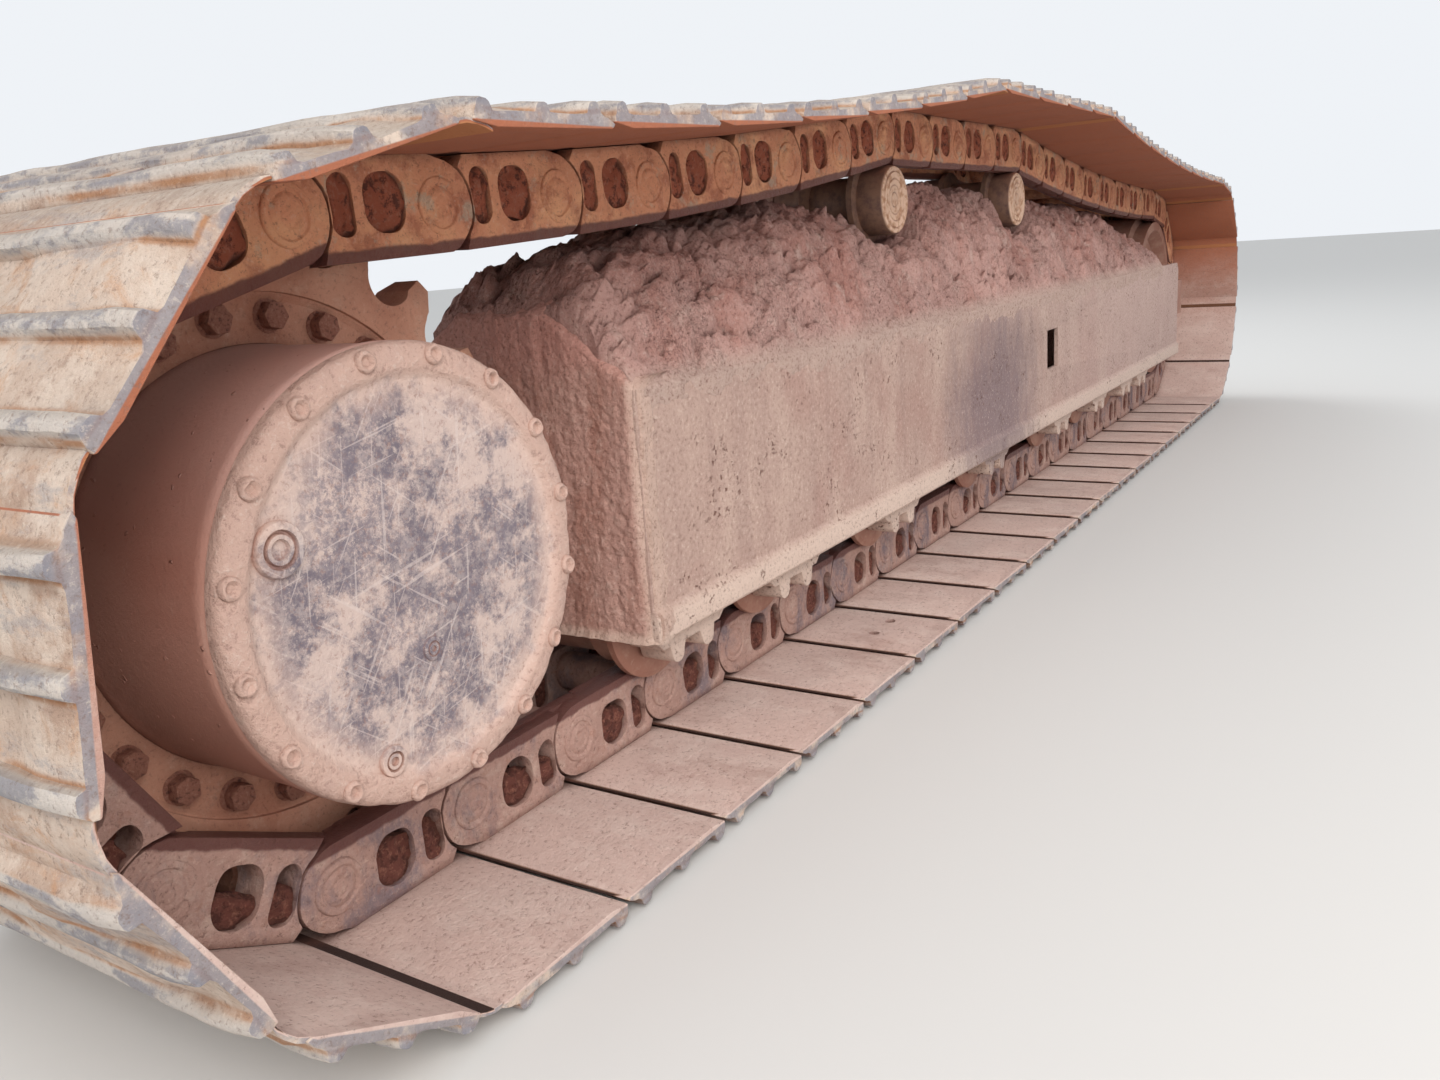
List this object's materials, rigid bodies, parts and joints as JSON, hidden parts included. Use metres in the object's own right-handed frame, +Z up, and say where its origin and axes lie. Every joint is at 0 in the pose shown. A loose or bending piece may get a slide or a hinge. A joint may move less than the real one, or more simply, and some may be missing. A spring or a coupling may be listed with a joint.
{
  "type": "crawler track unit",
  "caption": "Steel crawler track unit of an excavator: frame, geared drive with sprocket, idler, rollers and a closed track of grouser shoes.",
  "frame": {"origin": "on the ground under the middle of the whole unit's box", "axes": "+X along the track from the sprocket to the idler, +Y from the outer side to the car body, +Z up"},
  "size_m": [4.7442, 0.735, 0.9813],
  "materials": {
    "shoe": "worn steel under dry pale clay dust",
    "chain": "rusty forged steel packed with red clay",
    "sprocket": "dusty cast steel",
    "drive": "paint under dry red clay dust",
    "cover": "scraped dark steel with clay dust",
    "motor": "oily cast iron with dust",
    "frame": "paint under a dry red clay coat",
    "clay": "heaped dry red clay",
    "roller": "rusty forged steel",
    "spring": "rusty spring steel"
  },
  "bodies": {
    "root": {"track_shoes": "shoe", "track_chain": "chain", "sprocket": "sprocket", "drive_drum": "drive", "drive_cover": "cover", "drive_hub": "motor", "drive_bracket": "frame", "travel_motor": "motor", "motor_guard": "frame", "track_frame": "frame", "packed_clay": "clay", "idler": "roller", "idler_axle": "roller", "idler_blocks": "roller", "idler_yoke": "roller", "recoil_spring": "spring", "track_adjuster": "spring", "carrier_roller_rear": "roller", "carrier_roller_front": "roller", "carrier_brackets": "frame", "roller_collars": "roller", "track_roller_1": "roller", "track_roller_2": "roller", "track_roller_3": "roller", "track_roller_4": "roller", "track_roller_5": "roller", "track_roller_6": "roller", "track_roller_7": "roller", "track_roller_8": "roller", "stub_rear": "frame", "stub_front": "frame"}
  },
  "joints": []
}
